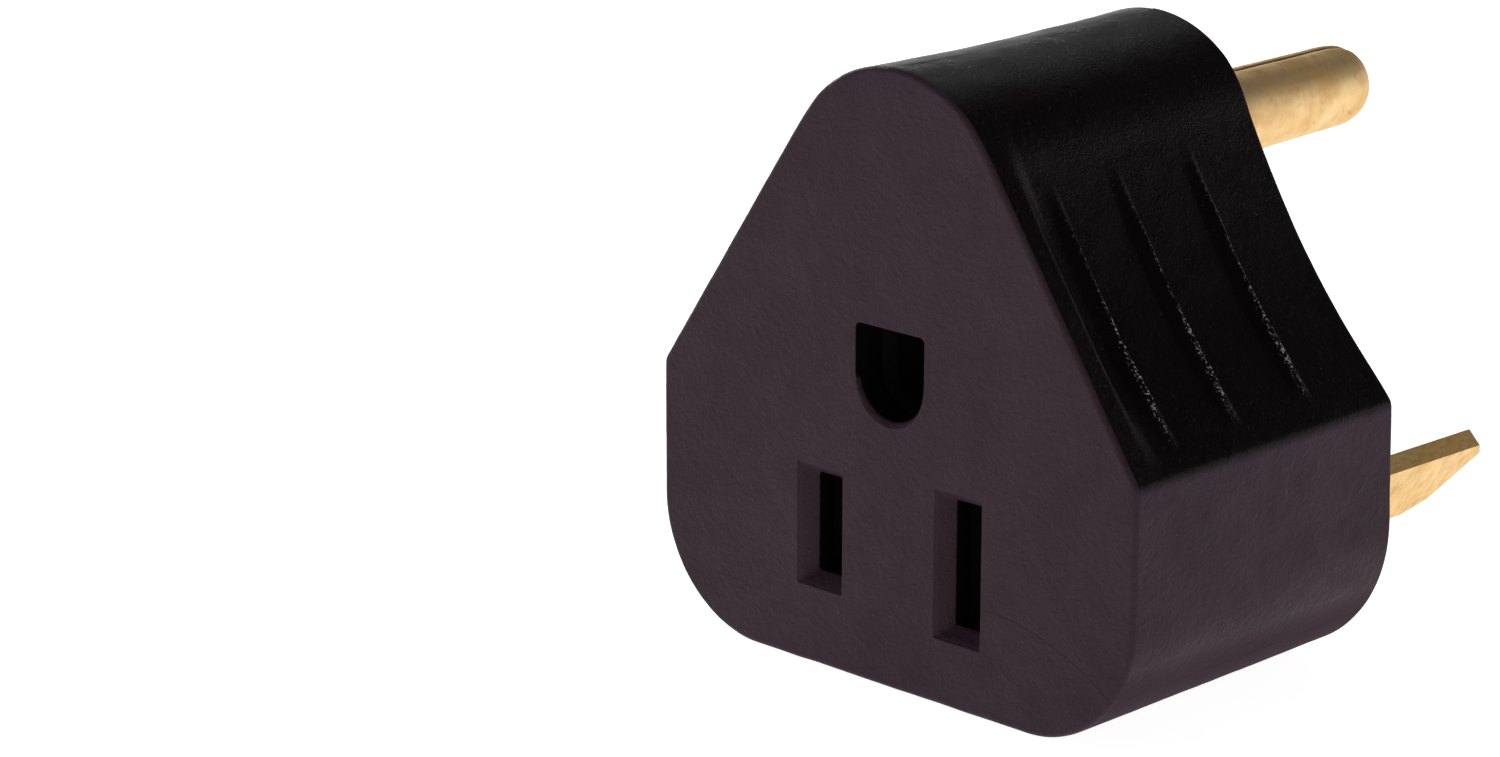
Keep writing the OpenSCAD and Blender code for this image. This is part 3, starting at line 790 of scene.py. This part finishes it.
PIN_GOLD = ((0.93, 0.68, 0.36), (0.84, 0.56, 0.25), (0.54, 0.34, 0.11))
BLADE_GOLD = ((0.85, 0.60, 0.27), (0.77, 0.51, 0.20), (0.50, 0.32, 0.10))
CONTACT_GOLD = ((0.70, 0.47, 0.18), (0.60, 0.38, 0.13), (0.34, 0.2, 0.06))
finishes = {
    "line_blade": brass("line_blade_brass", BLADE_GOLD, 0.60, -math.pi / 4, 0.35),
    "neutral_blade": brass("neutral_blade_brass", BLADE_GOLD, 0.60, math.pi / 4, 0.35),
    "contact": brass("contact_brass", CONTACT_GOLD, 0.34),
    "plastic": rigid_plastic(),
    "rivet": plated_rivet(),
}

# ---------------------------------------------------------------- pieces

body = make_body(vinyl())
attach(body, "root")
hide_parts("body_overmold")

pin = make_pin(brass("pin_brass", PIN_GOLD, 0.57, seam=True))
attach(pin, "root")
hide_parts("ground_pin")

# Pieces whose shape stays the CAD's: the finish, the radius of the edges and the nodes
CARRIED = (
    ("line_blade", 0.14, ("line_blade",)),
    ("neutral_blade", 0.14, ("neutral_blade",)),
    ("contact", 0.06, ("line_contact", "neutral_contact", "ground_contact")),
    ("contact", 0.06, ("line_strap", "neutral_strap", "ground_strap")),
    ("plastic", 0.1, ("contact_housing", "housing_cover", "blade_carrier")),
    ("rivet", 0.1, ("contact_rivets", "blade_rivets", "ground_pin_rivet")),
)


def dress(obj, material, edge):
    """Gives a carried-over node its finish and rounds its edges."""
    obj.data.materials.clear()
    obj.data.materials.append(material)
    merge = obj.modifiers.new("flat faces", "DECIMATE")
    merge.decimate_type = "DISSOLVE"
    merge.angle_limit = math.radians(1)
    bevel = obj.modifiers.new("edges", "BEVEL")
    bevel.width = edge * MM
    bevel.segments = 3
    bevel.limit_method = "ANGLE"
    bevel.angle_limit = math.radians(32)
    bevel.harden_normals = True


for finish, edge, nodes in CARRIED:
    for node in nodes:
        dress(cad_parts[node], finishes[finish], edge)

# ---------------------------------------------------------------- camera

AZIMUTH, ELEVATION, ROLL = math.radians(41.45), math.radians(15.70), math.radians(1.26)
AWAY = Vector((-12.46, -21.15, -286.67))  # the face's lower middle in the camera's own axes
LENS, SHIFT_X, SHIFT_Y = 102.7, -0.2147, -0.0043


def make_camera():
    level = math.cos(ELEVATION)
    back = Vector((math.sin(AZIMUTH) * level, -math.cos(AZIMUTH) * level, math.sin(ELEVATION)))
    right = Vector((math.cos(AZIMUTH), math.sin(AZIMUTH), 0))
    up = back.cross(right)
    c, s = math.cos(ROLL), math.sin(ROLL)
    rows = Matrix((c * right + s * up, -s * right + c * up, back))
    place = -(rows.transposed() @ AWAY) + Vector((0, FACE_Y, 0))
    camera = bpy.data.objects.new("camera", bpy.data.cameras.new("camera"))
    camera.matrix_world = Matrix.Translation(place * MM) @ rows.transposed().to_4x4()
    camera.data.sensor_width = 36
    camera.data.lens = LENS
    camera.data.shift_x = SHIFT_X
    camera.data.shift_y = SHIFT_Y
    camera.data.clip_start = 0.01
    bpy.context.scene.collection.objects.link(camera)
    bpy.context.scene.camera = camera


# ---------------------------------------------------------------- studio


FLOOR_RADII, FLOOR_Z = (60, 300, 1500, 4000), -0.02
LIT_POINT = Vector((0, 0, 0.02))


def make_floor():
    """A round white sheet that glows a little, so that it stays white all round."""
    a = np.linspace(0, 2 * math.pi, 96, endpoint=False)
    circle = np.column_stack([np.sin(a), np.cos(a), 0 * a])
    skin = Skin()
    first, _ = skin.tube([radius * circle + (0, 0, FLOOR_Z) for radius in FLOOR_RADII])
    skin.fan(first, (0, 0, FLOOR_Z), flip=True)
    tree = Tree("floor", base_color=(0.80, 0.80, 0.80, 1), roughness=0.9, specular_ior_level=0.1)
    tree.set(emission_color=(1, 1, 1, 1), emission_strength=0.93)
    mesh_object("floor", skin, tree.material)


def area_light(name, place, size, power):
    """A soft box in metres and watts that faces the adapter and isn't seen itself."""
    data = bpy.data.lights.new(name, "AREA")
    data.shape = "RECTANGLE"
    data.size, data.size_y = size
    data.energy = power
    light = bpy.data.objects.new(name, data)
    light.visible_camera = False
    light.location = place
    light.rotation_euler = (LIT_POINT - Vector(place)).to_track_quat("-Z", "Y").to_euler()
    bpy.context.scene.collection.objects.link(light)


# Spans of the sky, whose height is 0 at the horizon and 1 overhead: from and to a height, and the
# light's strength at each. The brighter of the two counts.
SKY = ((0.11, 0.20, 0.93, 0.0), (0.0, 0.58, 0.25, 0.09))


def make_world():
    """White near the horizon, like a paper sweep, and dim overhead."""
    world = bpy.data.worlds.new("studio")
    bpy.context.scene.world = world
    world.use_nodes = True
    nodes, links = world.node_tree.nodes, world.node_tree.links
    background = nodes["Background"]
    place = nodes.new("ShaderNodeTexCoord")
    split = nodes.new("ShaderNodeSeparateXYZ")
    brighter = nodes.new("ShaderNodeMath")
    brighter.operation = "MAXIMUM"
    links.new(place.outputs["Generated"], split.inputs[0])
    for slot, spans in enumerate(SKY):
        span = nodes.new("ShaderNodeMapRange")
        span.interpolation_type = "SMOOTHSTEP"
        for i, value in enumerate(spans, start=1):
            span.inputs[i].default_value = value
        links.new(split.outputs["Z"], span.inputs[0])
        links.new(span.outputs[0], brighter.inputs[slot])
    links.new(brighter.outputs[0], background.inputs["Strength"])
    background.inputs["Color"].default_value = (1, 1, 1, 1)


make_camera()
make_floor()
make_world()
area_light("key", (-0.30, -0.62, 0.46), (0.5, 0.35), 0.45)
area_light("top", (-0.35, 0.35, 0.55), (0.4, 0.25), 0.45)
area_light("left", (-0.66, 0.22, 0.14), (0.4, 0.3), 4.2)
area_light("back_card", (0.42, 0.48, 0.14), (0.5, 0.13), 0.16)
bpy.context.scene.view_settings.view_transform = "Standard"
